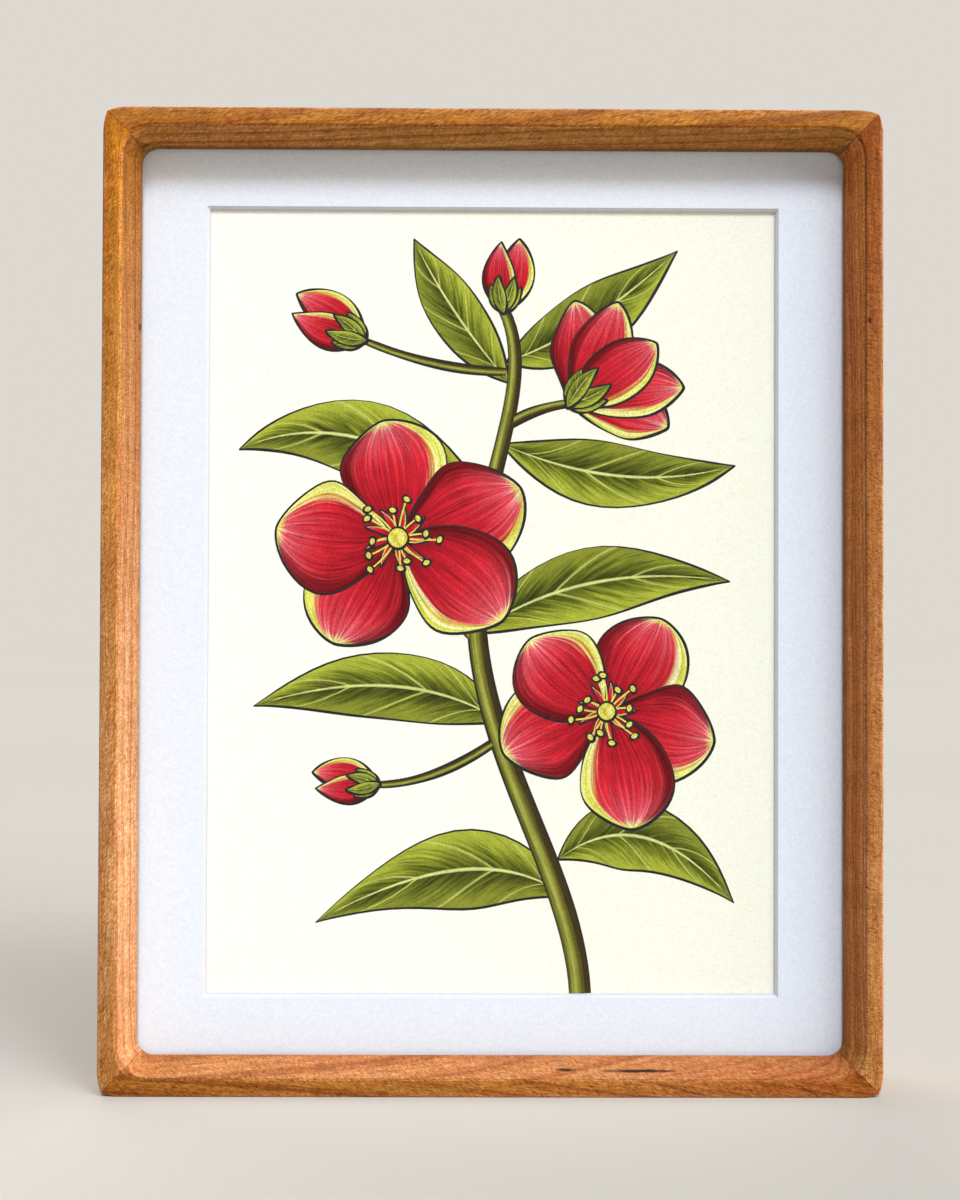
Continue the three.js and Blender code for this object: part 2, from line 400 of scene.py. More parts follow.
def cherryWood(name, wood):
    # Black cherry, planed and oiled: soft growth lines, ray fleck and fine pores under a satin sheen.
    material, tree, shader = startMaterial(name)
    place = addNode(tree, "TexCoord").outputs["Object"]
    reach = [side + rails["railWidth"] / 2 + wood["heart"][1] for side in rails["sightHalf"]]
    right, up = wood["out"]
    heart = pictureCentre + Vector((right * reach[0], wood["heart"][0], up * reach[1]))
    log = addNode(tree, "Mapping", {
        "Vector": place, "Location": heart * mm,
        "Rotation": (0, math.radians(-90 * wood["along"][1]), 0), "Scale": (mm, mm, mm),
    }, vector_type="TEXTURE")
    grain = addNode(tree, "Mapping", {
        "Vector": log.outputs[0], "Location": (wood["seed"] * 37, 0, 0),
        "Rotation": (0, math.radians(wood["tilt"][1]), math.radians(wood["tilt"][0])),
    })
    follows = {}
    for pattern, size, turn, detail in (
        # size of its grains in mm along the rail, through it and across it
        ("waver", (120, 30, 30), 0, 1),
        ("fibres", (9, 0.42, 0.42), 0, 4),  # a little coarser than real, so that they show
        ("drift", (60, 9, 9), 0, 3),
        ("ripple", (7, 16, 16), 12, 2),
        ("rays", wood["fleckSize"], wood["fleckTurn"], 2),
    ):
        sized = addNode(tree, "Mapping", {
            "Vector": grain.outputs[0], "Rotation": (0, math.radians(turn), 0), "Scale": size,
        }, vector_type="TEXTURE")
        grains = addNode(tree, "TexNoise", {
            "Vector": sized.outputs[0], "Scale": 1, "Detail": detail, "Roughness": 0.62,
        })
        follows[pattern] = grains.outputs["Fac"]

    # growth lines: the distance from the heart, bent with the trunk and wavering along the grain
    across = addNode(tree, "Mapping", {"Vector": grain.outputs[0], "Scale": (0, 1, 1)})
    distance = addNode(tree, "VectorMath", {0: across.outputs[0]}, operation="LENGTH")
    along = addNode(tree, "SeparateXYZ", {"Vector": log.outputs[0]}).outputs["X"]
    squared = addNode(tree, "Math", {0: along, 1: along}, operation="MULTIPLY")
    bent = addNode(tree, "Math", {
        0: squared.outputs[0], 1: wood["bend"] / 2, 2: distance.outputs["Value"],
    }, operation="MULTIPLY_ADD")
    grown = addNode(tree, "Math", {0: follows["waver"], 1: wood["waver"], 2: bent.outputs[0]},
                    operation="MULTIPLY_ADD")
    for pattern, often, detail in (("lateWood", 1, 1), ("growth", 2.4, 3)):
        bands = addNode(tree, "TexNoise", {
            "W": grown.outputs[0], "Scale": often / wood["ringWidth"], "Detail": detail, "Roughness": 0.6,
        }, noise_dimensions="1D")
        follows[pattern] = bands.outputs["Fac"]
    half = rails["sightHalf"][1 if right else 0] + rails["railWidth"]
    for pattern, far in (("along", rails["toneReach"]), ("ends", half)):
        follows[pattern] = addNode(tree, "MapRange", {
            "Value": along, "From Min": -far, "From Max": far,
        }).outputs[0]

    # what shows on the bevel and what on the front face
    depth = addNode(tree, "SeparateXYZ", {"Vector": place}).outputs["Y"]
    bevelEnds, frontStarts = rails["toneTurn"]
    shares = {}
    for layer, onBevel, onFront in (
        ("bevel", 1, 0), ("front", 0, 1), ("lines", *wood["lines"]), ("fleck", 0.7, 1), ("ends", 0.5, 1),
    ):
        shares[layer] = addNode(tree, "MapRange", {
            "Value": depth, "From Min": bevelEnds * mm, "From Max": frontStarts * mm,
            "To Min": onBevel, "To Max": onFront,
        }).outputs[0]
    paintedHighlight = addNode(tree, "Attribute", attribute_name="paintedHighlight")
    outside = Vector((right, 0, up))
    sight = outside.dot(pictureCentre) + rails["sightHalf"][0 if right else 1]
    outward = addNode(tree, "VectorMath", {0: place, 1: outside}, operation="DOT_PRODUCT")
    # a band along the sight edge that takes the painted shade over the mat
    shares["lip"] = addNode(tree, "MapRange", {
        "Value": outward.outputs["Value"], "From Min": (sight + 0.3) * mm, "From Max": (sight + 0.9) * mm,
        "To Min": 1, "To Max": 0,
    }).outputs[0]

    colour = srgb("#ffffff")
    for value, share, stops in (
        (follows["growth"], 1, ((0.3, "#deae88"), (0.5, "#e7bc96"), (0.7, "#edc7a2"))),
        (follows["lateWood"], shares["lines"], (
            (0.41, "#fffdf8"), (0.475, "#eddccd"), (0.5, "#bd9273"), (0.516, "#eddccd"), (0.58, "#ffffff"),
        )),
        (follows["fibres"], 1, grained((0.3, 0.47), (0.43, 0.89), (0.55, 1.05), (0.7, 1.45))),
        # slow drift between pinkish and golden wood, and the ripple that it shows in slanting light
        (follows["drift"], 1, ((0.35, "#f8e2d6"), (0.65, "#fff8ea"))),
        (follows["ripple"], 1, ((0.34, 0.9), (0.66, 1.07))),
        # ray fleck, thin ribbons along the radius: slanting ticks on the front face, fainter on the bevel
        (follows["rays"], shares["fleck"], grained((0.35, 0.4), (0.45, 0.9), (0.55, 1.05), (0.65, 1.55))),
        # painted shade at the ends, towards the corners, and on the right rail a painted lighter top end
        (follows["ends"], shares["ends"], grained(
            (0.06, wood["ends"][0]), (0.24, 1), (0.76, 1), (0.94, wood["ends"][1]),
        )),
        # tones along the rail, the wood's own colour with painted light and shade fitted into them
        (follows["along"], shares["bevel"], tuple(enumerate(wood["bevelTonesWithPaintedLight"]))),
        (follows["along"], shares["front"], tuple(enumerate(wood["frontTonesWithPaintedLight"]))),
        # painted highlight: paler on the rounded outer edge and on the arris, where the light catches them
        (paintedHighlight.outputs["Fac"], 1, ((0, 1), (0.5, wood["arris"]), (1, wood["edge"]))),
        # painted shade along the edge over the mat
        (paintedHighlight.outputs["Fac"], shares["lip"], ((0, wood["lip"]), (1, wood["lip"]))),
    ):
        tint = addNode(tree, "ValToRGB", {"Fac": value}, stops=stops)
        colour = addNode(tree, "Mix", {0: share, 6: colour, 7: tint.outputs["Color"]}, **stain).outputs[2]
    for markPlace, size, turn, strength in wood["marks"]:
        local = addNode(tree, "Mapping", {
            "Vector": place, "Location": (pictureCentre + Vector(markPlace)) * mm,
            "Rotation": (0, math.radians(turn), 0), "Scale": [side * mm for side in size],
        }, vector_type="TEXTURE")
        far = addNode(tree, "VectorMath", {0: local.outputs[0]}, operation="LENGTH")
        ragged = addNode(tree, "Math", {0: follows["fibres"], 1: 1.1, 2: far.outputs["Value"]},
                         operation="MULTIPLY_ADD")
        inside = addNode(tree, "MapRange", {
            "Value": ragged.outputs[0], "From Min": 1.05, "From Max": 1.5, "To Min": strength, "To Max": 0,
        })
        colour = addNode(tree, "Mix", {0: inside.outputs[0], 6: colour, 7: srgb("#2c130d")},
                         **cover).outputs[2]
    sheen = addNode(tree, "MapRange", {
        "Value": follows["fibres"], "From Min": 0.3, "From Max": 0.7, "To Min": 0.66, "To Max": 0.54,
    })
    bump = addNode(tree, "Bump", {"Height": follows["fibres"], "Strength": 0.25, "Distance": 0.04 * mm})
    wire(tree, shader, {
        "Base Color": colour, "Roughness": sheen.outputs[0], "Specular IOR Level": 0.15,
        "Normal": bump.outputs[0],
    })
    return material


for name, wood in railWood.items():
    ring = frameRing()
    cutRail(ring, wood["along"], wood["out"])
    finishPiece(name, ring, [cherryWood(name + "Cherry", wood)], [wood["node"]])
print("rails cut and finished")

# White window mat, cut at 45 degrees to its core, which is painted grey to put shade on the cut.
mat = {
    "half": (139.3, 177.4),
    "frontY": -2.376,
    "backY": -0.876,
    "windowHalf": (107.95, 149.225),  # at the paper
    "bevelRun": 1.25,
    "paintedShadowLine": 0.35,
}


def matFacing():
    # Cotton rag board: cool white facing with a faint pulpy tooth.
    material, tree, shader = startMaterial("matFacing")
    pulp, tone = mottle(tree, 1 * mm, ((0.3, "#e7ebf4"), (0.7, "#f1f5f9")), detail=4)
    bump = addNode(tree, "Bump", {"Height": pulp, "Strength": 0.6, "Distance": 0.08 * mm})
    wire(tree, shader, {
        "Base Color": tone, "Roughness": 0.85, "Specular IOR Level": 0.3, "Normal": bump.outputs[0],
    })
    return material


def matCore():
    # The same board's solid core, cut smooth by the blade: painted grey for shade on the cut, with a
    # greyer band at the back of the cut, a painted shadow line where the mat meets the paper.
    material, tree, shader = startMaterial("matCore")
    tone = mottle(tree, 0.7 * mm, ((0.3, "#d3d4d9"), (0.7, "#dddee3")), detail=2)[1]
    place = addNode(tree, "TexCoord").outputs["Object"]
    depth = addNode(tree, "SeparateXYZ", {"Vector": place})
    paintedShadowLine = addNode(tree, "MapRange", {
        "Value": depth.outputs["Y"], "From Min": (mat["backY"] - mat["paintedShadowLine"] - 0.1) * mm,
        "From Max": (mat["backY"] - mat["paintedShadowLine"]) * mm,
    })
    shadowLined = addNode(tree, "Mix", {0: paintedShadowLine.outputs[0], 6: tone, 7: srgb("#c8c3d0")}, **cover)
    wire(tree, shader, {"Base Color": shadowLined.outputs[2], "Roughness": 0.8})
    return material


def addMat():
    bm = bmesh.new()
    outside, window = mat["half"], mat["windowHalf"]
    opening = [side + mat["bevelRun"] for side in window]
    loop = addRing(bm, [(outside[0], mat["backY"], outside[1])])
    last = (outside, mat["backY"])
    # round the section: outer edge, facing, bevelled edge of the window, back
    for half, depth, material in ((outside, mat["frontY"], 0), (opening, mat["frontY"], 0),
                                  (window, mat["backY"], 1), (outside, mat["backY"], 0)):
        made = bmesh.ops.extrude_edge_only(bm, edges=loop)["geom"]
        verts = [v for v in made if isinstance(v, bmesh.types.BMVert)]
        loop = [e for e in made if isinstance(e, bmesh.types.BMEdge) and all(v in verts for v in e.verts)]
        for face in (f for f in made if isinstance(f, bmesh.types.BMFace)):
            face.material_index = material
        bmesh.ops.scale(bm, vec=(half[0] / last[0][0], 1, half[1] / last[0][1]), verts=verts)
        bmesh.ops.translate(bm, vec=(0, depth - last[1], 0), verts=verts)
        last = (half, depth)
    bmesh.ops.remove_doubles(bm, verts=bm.verts, dist=0.001)
    bmesh.ops.recalc_face_normals(bm, faces=bm.faces)
    finishPiece("matBoard", bm, [matFacing(), matCore()], ["mat_board"])


addMat()
print("mat cut")

# Glazing, picture-framing glass with an anti-reflective coat: nearly all light goes straight through.
def coatedGlass():
    material, tree, shader = startMaterial("coatedGlass")
    tree.nodes.remove(shader)
    clear = addNode(tree, "BsdfTransparent", {"Color": srgb("#fefefe")})
    shine = addNode(tree, "BsdfGlossy", {"Color": srgb("#dfe9ff"), "Roughness": 0.03})
    facing = addNode(tree, "LayerWeight", {"Blend": 0.12})
    share = addNode(tree, "MapRange", {"Value": facing.outputs["Fresnel"], "To Max": 0.25})
    both = addNode(tree, "MixShader", {0: share.outputs[0], 1: clear.outputs[0], 2: shine.outputs[0]})
    tree.links.new(both.outputs[0], tree.nodes["Material Output"].inputs["Surface"])
    return material


def drawingPaper():
    # Heavy watercolour paper, cold pressed: warm cream with a soft pebbly tooth.
    material, tree, shader = startMaterial("drawingPaper")
    tooth, tone = mottle(tree, 0.75 * mm, ((0.34, "#f7f4e2"), (0.47, "#fefdf1"), (0.66, "#fffff9")),
                         roughness=0.6)
    place = addNode(tree, "TexCoord").outputs["Object"]
    across = addNode(tree, "SeparateXYZ", {"Vector": place}).outputs["X"]
    # a little warmer to the right, a painted tint for the dimmer light on that side
    warmerRight = addNode(tree, "MapRange", {"Value": across, "From Min": -50 * mm, "From Max": 120 * mm})
    warmed = addNode(tree, "Mix", {0: warmerRight.outputs[0], 6: tone, 7: srgb("#fffef4")}, **stain)
    bump = addNode(tree, "Bump", {"Height": tooth, "Strength": 0.5, "Distance": 0.1 * mm})
    wire(tree, shader, {
        "Base Color": warmed.outputs[2], "Roughness": 0.9, "Specular IOR Level": 0.25,
        "Normal": bump.outputs[0],
    })
    return material


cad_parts["glazing"].data.materials.clear()
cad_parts["glazing"].data.materials.append(coatedGlass())

# The sheet lies against the backing, a hair behind the mat, so the mat's edge throws a thin shadow.
sheet = {
    "half": mat["half"],
    "frontY": -0.526,
    "thickness": 0.15,
}


def addSheet():
    bm = bmesh.new()
    bmesh.ops.create_grid(bm, x_segments=4, y_segments=5, size=1)
    bmesh.ops.scale(bm, vec=(sheet["half"][0], sheet["half"][1], 1), verts=bm.verts)
    rotate(bm, bm.verts, 90, "X")
    bmesh.ops.solidify(bm, geom=bm.faces[:], thickness=sheet["thickness"])
    bmesh.ops.recalc_face_normals(bm, faces=bm.faces)
    nearest = min(v.co.y for v in bm.verts)
    bmesh.ops.translate(bm, vec=(0, sheet["frontY"] - nearest, 0), verts=bm.verts)
    finishPiece("drawingSheet", bm, [drawingPaper()], ["art_sheet"])


addSheet()
print("glazing and sheet laid in")

# The drawing: a flowering spray in ink and watercolour. Each leaf, petal and stem is a film of
# paint laid along a curve, over a slightly larger film of ink that shows as its outline.
drawing = {
    "paperY": sheet["frontY"],
    "film": 0.006,
    "lift": 0.004,  # of the lowest film off the paper
    "step": 0.011,  # between one film and the next
    "ink": 0.66,
    "inkDrop": (0.13, -0.15),  # the line is heavier on the shaded side
}


def curveAt(points, t):
    points = [Vector(p) for p in points]
    while len(points) > 1:
        points = [a.lerp(b, t) for a, b in zip(points, points[1:])]
    return points[0]


def layFilm(bm, path, width, layer, material, form=(1, 1), taper=0.0, tone=0.5, grow=0.0,
            ruffle=0.0, rows=22, columns=6):
    # half width along the path t: width * sin(pi * t ** form[0]) ** form[1]
    if not bm.loops.layers.uv:
        bm.loops.layers.uv.new("UVMap")
    tones = bm.verts.layers.float.get("tone") or bm.verts.layers.float.new("tone")
    made = bmesh.ops.create_grid(bm, x_segments=columns, y_segments=rows, size=0.5, calc_uvs=True)
    drop = Vector(drawing["inkDrop"]) if grow else Vector((0, 0))
    for vert in made["verts"]:
        across, along = 2 * vert.co.x, vert.co.y + 0.5
        t = (1 - math.cos(math.pi * along)) / 2 if form[1] else along
        middle = curveAt(path, t)
        ahead = (curveAt(path, min(t + 0.01, 1)) - curveAt(path, max(t - 0.01, 0))).normalized()
        side = Vector((ahead.y, -ahead.x))
        half = width * (1 - taper * t) * math.sin(math.pi * min(max(t, 0), 1) ** form[0]) ** form[1]
        half *= 1 + ruffle * math.sin(9 * t + 17 * tone) * abs(across)
        if grow:
            thinned = min(1, 6 * t + 0.4, 6 * (1 - t) + 0.4)
            half += grow * thinned * (1 + 0.3 * math.sin(7 * t + 23 * tone))
            if form[1]:
                middle = middle + ahead * grow * 1.5 * (2 * t - 1)
        place = middle + side * across * half + drop
        vert.co = Vector((place.x, drawing["paperY"] - drawing["lift"] - layer * drawing["step"], place.y))
        vert[tones] = tone
    faces = {f for v in made["verts"] for f in v.link_faces}
    for face in faces:
        face.material_index = material


def addBlade(bm, path, width, layer, material, **shape):
    # ink first, then the paint over it
    layFilm(bm, path, width, layer, ink, grow=drawing["ink"], **{**shape, "columns": 2})
    layFilm(bm, path, width, layer + 0.5, material, **shape)


def finishFilms(name, bm):
    bmesh.ops.remove_doubles(bm, verts=bm.verts, dist=0.002)
    bmesh.ops.dissolve_degenerate(bm, edges=bm.edges, dist=0.002)
    bmesh.ops.solidify(bm, geom=bm.faces[:], thickness=drawing["film"])
    finishPiece(name, bm, washes)


def turned(angle, length, bend=0.0, start=(0, 0), squash=(1, 1), inner=0.0):
    # three points for a curve that leaves start at an angle in degrees and bows to one side
    a = math.radians(angle)
    ahead = Vector((math.cos(a) * squash[0], math.sin(a) * squash[1]))
    side = Vector((math.sin(a), -math.cos(a)))
    origin = Vector(start)
    return [origin + ahead * length * inner,
            origin + ahead * length * 0.5 + side * length * bend,
            origin + ahead * length]


# Stems and leaves: where each starts, bows to and ends, its half width and its film.
greenery = {
    "stem": [(34, -149.2), (30, -70), (-62, -10), (30, 60), (4, 112)],
    "stemHalf": 4,
    "twigs": [  # path, half width
        ([(-7, -14), (-22, 2), (-30, 30)], 1.7),
        ([(16, -66), (24, -44), (44, -36)], 1.8),
        ([(4, 66), (14, 74), (30, 76)], 1.6),
        ([(5, 88), (-22, 88), (-50, 100)], 1.3),
        ([(6, -50), (-20, -70), (-44, -70)], 1.3),
    ],
    "leaves": [  # path, half width, film, tone
        ([(28, -112), (-6, -88), (-66, -122)], 14, 1, 0.2),
        ([(26, -98), (58, -74), (92, -114)], 13, 1, 0.7),
        ([(4, -46), (-34, -22), (-90, -40)], 13, 2, 0.4),
        ([(-6, -12), (34, 16), (90, 8)], 13, 1, 0.9),
        ([(0, 34), (-52, 78), (-96, 58)], 14, 1, 0.6),
        ([(4, 60), (50, 40), (92, 52)], 12, 2, 0.3),
        ([(6, 84), (-18, 112), (-30, 138)], 10, 2, 0.8),
        ([(6, 92), (36, 102), (70, 134)], 12, 1, 0.1),
    ],
}
blossoms = {
    # name: middle, radius, petals (an odd number), turn in degrees, squash, first film
    "blossomLeft": ((-36, 24), 49, 5, 100, (1.0, 0.94), 4),
    "blossomRight": ((44, -42), 43, 5, 62, (0.96, 1.0), 4),
}
buds = [  # foot, angle in degrees, length
    ((-50, 100), 152, 30),
    ((4, 112), 84, 27),
    ((-44, -70), 176, 24),
]
halfOpen = {"foot": (30, 76), "angle": 38, "length": 44}


def inkLine():
    # Waterproof drawing ink: almost black, slightly brown where it thins.
    material, tree, shader = startMaterial("drawingInk")
    tone = mottle(tree, 1.5 * mm, ((0.35, "#090708"), (0.7, "#1b1412")))[1]
    wire(tree, shader, {"Base Color": tone, "Roughness": 0.75})
    return material


def granulate(tree, shader, colour):
    # pigment settles in the paper's tooth, in grains about 0.4 mm across, and pools in wider clouds
    for grain, stops in (
        (0.45, ((0.3, 0.68), (0.5, 1), (0.7, 1.16))),
        (9, ((0.35, 0.86), (0.65, 1.06))),
    ):
        tone = mottle(tree, grain * mm, stops)[1]
        colour = addNode(tree, "Mix", {0: 1, 6: colour, 7: tone}, **stain).outputs[2]
    wire(tree, shader, {"Base Color": colour, "Roughness": 0.88, "Specular IOR Level": 0.25})


def brushed(tree):
    # how far a point lies across its film and along it, from 0 to 1, and the film's own number
    uv = addNode(tree, "UVMap", uv_map="UVMap")
    parts = addNode(tree, "SeparateXYZ", {"Vector": uv.outputs["UV"]}).outputs
    return parts["X"], parts["Y"], addNode(tree, "Attribute", attribute_name="tone").outputs["Fac"]


def brushStrokes(tree, place, often, detail, roughness=0.5):
    # often is how many strokes lie along each axis of place
    drawnOut = addNode(tree, "Mapping", {"Vector": place, "Scale": often})
    return addNode(tree, "TexNoise", {
        "Vector": drawnOut.outputs[0], "Scale": 1, "Detail": detail, "Roughness": roughness,
    }).outputs["Fac"]


def petalWash():
    # Crimson watercolour with pencil strokes fanning out over it, thinned to rose, and a lime rim.
    material, tree, shader = startMaterial("petalWash")
    across, along, tone = brushed(tree)
    fan = addNode(tree, "CombineXYZ", {"X": across, "Y": along, "Z": tone}).outputs[0]
    strokes = brushStrokes(tree, fan, (26, 1.6, 31), 4, 0.6)
    fine = brushStrokes(tree, fan, (60, 3, 17), 2)
    # along the petal, each stroke reaching a little further or less far
    reach = addNode(tree, "Math", {0: strokes, 1: 0.9, 2: along}, operation="MULTIPLY_ADD")
    scaled = addNode(tree, "MapRange", {"Value": reach.outputs[0], "From Min": 0.35, "From Max": 1.45})
    body = addNode(tree, "ValToRGB", {"Fac": scaled.outputs[0]}, stops=(
        (0.04, "#3c0912"), (0.2, "#83081a"), (0.4, "#b40f22"), (0.62, "#d1202f"), (0.82, "#e2535f"),
        (0.97, "#f3a3a0"),
    ))
    dark = addNode(tree, "ValToRGB", {"Fac": fine}, stops=((0.3, 0.36), (0.43, 1), (0.58, 1), (0.72, 1.6)))
    stroked = addNode(tree, "Mix", {0: 0.8, 6: body.outputs[0], 7: dark.outputs[0]}, **stain)
    # the shaded side
    lean = addNode(tree, "Math", {0: strokes, 1: 0.25, 2: across}, operation="MULTIPLY_ADD")
    shadeTone = addNode(tree, "ValToRGB", {"Fac": lean.outputs[0]},
                        stops=((0.16, "#6b2a30"), (0.34, "#ffffff")))
    shaded = addNode(tree, "Mix", {0: 0.85, 6: stroked.outputs[2], 7: shadeTone.outputs[0]}, **stain)
    # lime rim on the other side and round the tip
    sideRim = addNode(tree, "MapRange", {"Value": lean.outputs[0], "From Min": 0.96, "From Max": 1.04})
    tip = addNode(tree, "Math", {0: strokes, 1: 0.22, 2: along}, operation="MULTIPLY_ADD")
    tipRim = addNode(tree, "MapRange", {"Value": tip.outputs[0], "From Min": 0.94, "From Max": 1.03})
    rim = addNode(tree, "Math", {0: sideRim.outputs[0], 1: tipRim.outputs[0]}, operation="MAXIMUM")
    limeTone = addNode(tree, "ValToRGB", {"Fac": strokes},
                       stops=((0.3, "#a9b82a"), (0.48, "#e9e85a"), (0.62, "#fbf8c2")))
    rimmed = addNode(tree, "Mix", {0: rim.outputs[0], 6: shaded.outputs[2], 7: limeTone.outputs[0]},
                     **cover)
    granulate(tree, shader, rimmed.outputs[2])
    return material


def leafWash():
    # Olive watercolour: dark towards the midrib, lime between the side veins, lines left open for them.
    material, tree, shader = startMaterial("leafWash")
    across, along, tone = brushed(tree)
    centred = addNode(tree, "Math", {0: across, 1: 0.5}, operation="SUBTRACT")
    out = addNode(tree, "Math", {0: centred.outputs[0]}, operation="ABSOLUTE")
    # side veins leave the midrib in five pairs and slant to the tip
    slant = addNode(tree, "Math", {0: out.outputs[0], 1: -3.4}, operation="MULTIPLY")
    phase = addNode(tree, "Math", {0: along, 1: 10, 2: slant.outputs[0]}, operation="MULTIPLY_ADD")
    wave = addNode(tree, "Math", {0: phase.outputs[0], 1: 1}, operation="PINGPONG")
    vein = addNode(tree, "ValToRGB", {"Fac": wave.outputs[0]}, stops=((0, 1), (0.09, 0), (1, 0)))
    fan = addNode(tree, "CombineXYZ", {"X": phase.outputs[0], "Y": out.outputs[0], "Z": tone}).outputs[0]
    strokes = brushStrokes(tree, fan, (6, 3, 29), 4, 0.65)
    depth = addNode(tree, "Math", {0: out.outputs[0], 1: 0.9, 2: strokes}, operation="MULTIPLY_ADD")
    body = addNode(tree, "ValToRGB", {"Fac": depth.outputs[0]},
                   stops=((0.36, "#2b2f0a"), (0.52, "#4d5411"), (0.68, "#777f1e"), (0.88, "#a9b138")))
    half = addNode(tree, "ValToRGB", {"Fac": across}, stops=((0.47, 0.68), (0.53, 1.12)))
    folded = addNode(tree, "Mix", {0: 1, 6: body.outputs[0], 7: half.outputs[0]}, **stain)
    veined = addNode(tree, "Mix", {0: vein.outputs[0], 6: folded.outputs[2], 7: srgb("#c9d065")}, **cover)
    rib = addNode(tree, "ValToRGB", {"Fac": out.outputs[0]}, stops=((0.012, 1), (0.03, 0)))
    ribbed = addNode(tree, "Mix", {0: rib.outputs[0], 6: veined.outputs[2], 7: srgb("#dfe48a")}, **cover)
    granulate(tree, shader, ribbed.outputs[2])
    return material


def stemWash():
    # Olive and umber washes drawn out lengthways, light down the middle.
    material, tree, shader = startMaterial("stemWash")
    uv = addNode(tree, "UVMap", uv_map="UVMap").outputs["UV"]
    across = addNode(tree, "SeparateXYZ", {"Vector": uv}).outputs["X"]
    strokes = brushStrokes(tree, uv, (9, 7, 1), 4, 0.6)
    lean = addNode(tree, "Math", {0: strokes, 1: 0.5, 2: across}, operation="MULTIPLY_ADD")
    body = addNode(tree, "ValToRGB", {"Fac": lean.outputs[0]}, stops=(
        (0.2, "#3b3a10"), (0.4, "#7c7d24"), (0.58, "#b3b551"), (0.76, "#7f8028"), (1, "#41330f"),
    ))
    granulate(tree, shader, body.outputs[0])
    return material


def stamenWash():
    # Gamboge yellow, greener where it is thin.
    material, tree, shader = startMaterial("stamenWash")
    uv = addNode(tree, "UVMap", uv_map="UVMap").outputs["UV"]
    strokes = brushStrokes(tree, uv, (3, 3, 1), 3)
    body = addNode(tree, "ValToRGB", {"Fac": strokes},
                   stops=((0.3, "#b9b52a"), (0.5, "#f0e35a"), (0.7, "#fbf7b4")))
    granulate(tree, shader, body.outputs[0])
    return material


washes = [inkLine(), petalWash(), leafWash(), stemWash(), stamenWash()]
ink, petal, leaf, stem, stamen = range(5)


def addGreenery():
    bm = bmesh.new()
    for path, half, film, tone in greenery["leaves"]:
        addBlade(bm, path, half, film, leaf, form=(0.88, 1.05), tone=tone, ruffle=0.05, rows=26)
    for path, half in greenery["twigs"]:
        addBlade(bm, path, half, 3, stem, form=(1, 0), taper=0.2, rows=16, columns=4)
    addBlade(bm, greenery["stem"], greenery["stemHalf"], 3.4, stem, form=(1, 0), taper=0.5, rows=60,
             columns=4)
    finishFilms("drawnGreenery", bm)


def addBlossom(name, middle, radius, petals, heading, squash, film):
    bm = bmesh.new()
    for step in range(petals):
        i = 2 * step % petals  # every other petal lies on its neighbours
        angle = heading + 360 * i / petals + 5 * math.sin(3 * i + heading)
        length = radius * (1 + 0.06 * math.sin(5 * i + heading))
        path = turned(angle, length, 0.09 * (-1) ** i, middle, squash, 0.04)
        addBlade(bm, path, radius * 0.42, film + step, petal, form=(1.25, 0.62),
                 tone=(0.13 * i + heading / 97) % 1, ruffle=0.035, rows=26, columns=8)
    top = film + petals
    for i in range(9):
        path = turned(heading + 20 + 40 * i, radius * 0.26, 0.1, middle, squash, 0.1)
        addBlade(bm, path, radius * 0.028, top, petal, form=(0.8, 1), tone=0.02, rows=8, columns=2)
    for i in range(13):
        angle = heading + 360 / 13 * i + 9 * math.sin(2.3 * i)
        length = radius * (0.27 + 0.07 * math.sin(1.7 * i + heading))
        path = turned(angle, length, 0.12 * math.sin(i), middle, squash, 0.12)
        layFilm(bm, path, 0.32, top + 1.5, stamen, form=(1, 0), rows=6, columns=2)
        # an anther lies across the end of its filament
        across = math.radians(angle + 70)
        foot = path[-1] - Vector((math.cos(across), math.sin(across))) * 1.3
        addBlade(bm, turned(angle + 70, 2.6, 0, foot), 0.95, top + 2 + (i % 2), stamen, form=(1, 0.6),
                 tone=0.1 * i, rows=8, columns=2)
    eye = radius * 0.075
    addBlade(bm, turned(90, 2 * eye, 0, (middle[0], middle[1] - eye)), eye, top + 4, stamen, form=(1, 0.5),
             rows=12, columns=4)
    finishFilms(name, bm)


def addSepals(bm, foot, angle, length, layer):
    for i, lean in enumerate((-34, 34, -13, 15)):
        reach = length * (0.9 if i < 2 else 1.1)
        path = turned(angle + lean, reach, -0.12 * math.copysign(1, lean), foot, inner=-0.12)
        addBlade(bm, path, length * 0.2, layer + i, leaf, form=(0.8, 1), tone=0.2 * i, rows=14, columns=4)


def addBud(bm, foot, angle, length):
    addBlade(bm, turned(angle - 7, length, 0.1, foot), length * 0.27, 5, petal, form=(0.95, 0.9),
             tone=0.31)
    addBlade(bm, turned(angle + 8, length * 0.93, -0.1, foot), length * 0.22, 6, petal, form=(0.9, 0.95),
             tone=0.77)
    addSepals(bm, foot, angle, length * 0.42, 7)


def addHalfOpen(bm, foot, angle, length):
    for i, (lean, reach, bend) in enumerate((
            (-52, 0.86, -0.16), (50, 0.88, 0.16), (-30, 0.98, -0.1), (27, 0.96, 0.1), (-3, 0.9, 0.03))):
        path = turned(angle + lean, length * reach, bend, foot)
        addBlade(bm, path, length * 0.25, 5 + i, petal, form=(1.15, 0.72), tone=0.17 * i + 0.05,
                 ruffle=0.04, rows=24, columns=8)
    addSepals(bm, foot, angle, length * 0.34, 11)


def addBuds():
    bm = bmesh.new()
    for bud in buds:
        addBud(bm, *bud)
    addHalfOpen(bm, **halfOpen)
    finishFilms("drawnBuds", bm)


addGreenery()
addBuds()
for name, blossom in blossoms.items():
    addBlossom(name, *blossom)
print("drawing laid")


